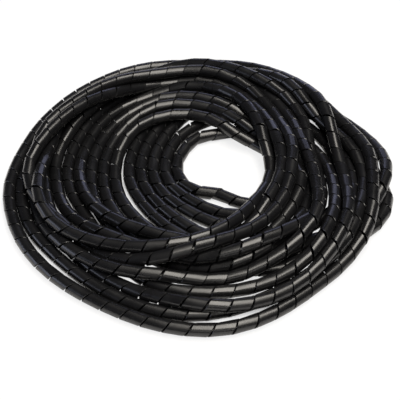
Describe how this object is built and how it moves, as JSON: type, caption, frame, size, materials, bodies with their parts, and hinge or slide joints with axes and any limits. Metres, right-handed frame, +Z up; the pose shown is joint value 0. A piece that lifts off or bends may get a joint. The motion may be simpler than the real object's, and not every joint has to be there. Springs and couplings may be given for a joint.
{
  "type": "spiral cable wrap coil",
  "caption": "Loose hand-wound coil of black plastic spiral cable wrap, one continuous helical strip with bare cut ends.",
  "frame": {"origin": "middle of the coil's underside, on the floor that it lies on", "axes": "+Z up along the coil's bore, -Y towards the viewer of the picture, +X to the right"},
  "size_m": [0.312, 0.312, 0.0386],
  "materials": {
    "black_plastic": "soft gloss black polyethylene"
  },
  "bodies": {
    "root": {"spiral_wrap_coil": "black_plastic"}
  },
  "joints": []
}
